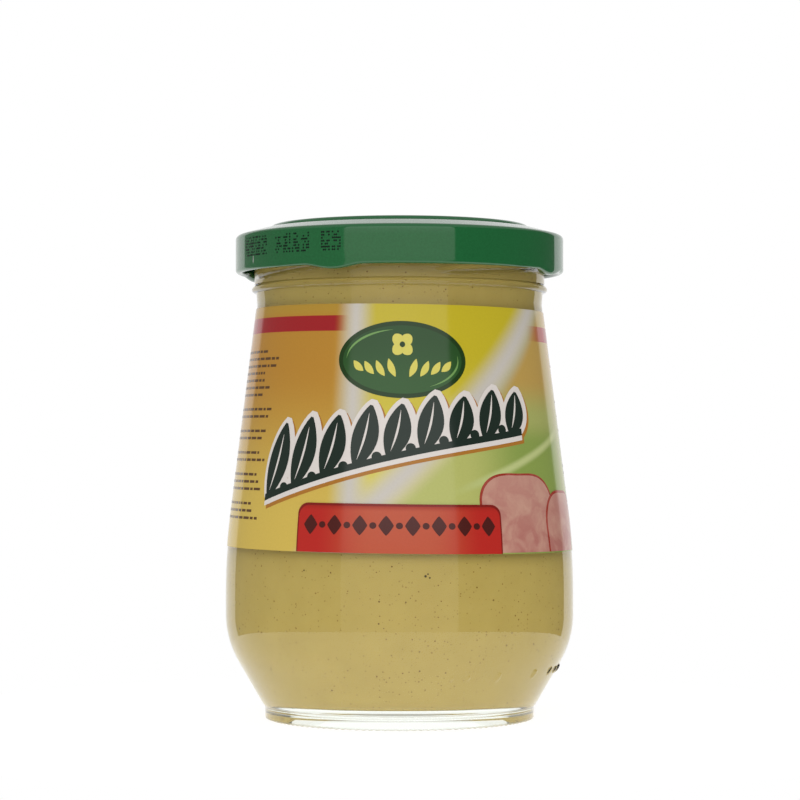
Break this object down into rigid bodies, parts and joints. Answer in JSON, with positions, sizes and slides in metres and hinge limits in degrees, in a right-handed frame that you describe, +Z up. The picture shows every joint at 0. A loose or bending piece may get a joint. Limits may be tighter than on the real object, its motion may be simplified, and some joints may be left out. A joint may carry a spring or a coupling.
{
  "type": "mustard jar",
  "caption": "Shut glass jar of mustard with a tapered, bellied body, a pressed twist-off lid and a printed paper label wrapped round it.",
  "frame": {"origin": "centre of the jar's base, on the plane it stands on", "axes": "+Z up along the jar's axis; -Y out of the middle of the label's front; +X to the right for someone who looks at the label"},
  "size_m": [0.07, 0.07, 0.0991],
  "materials": {
    "clear_glass": "clear, colourless, smooth pressed glass",
    "mustard_paste": "moist smooth mustard paste with a few dark specks of seed husk",
    "green_lacquer": "glossy green lacquer on tinplate",
    "label_paper": "satin coated paper printed in yellow, ochre, green and red fields"
  },
  "bodies": {
    "root": {"glass_jar": "clear_glass", "mustard": "mustard_paste", "lid": "green_lacquer", "label": "label_paper"}
  },
  "joints": []
}
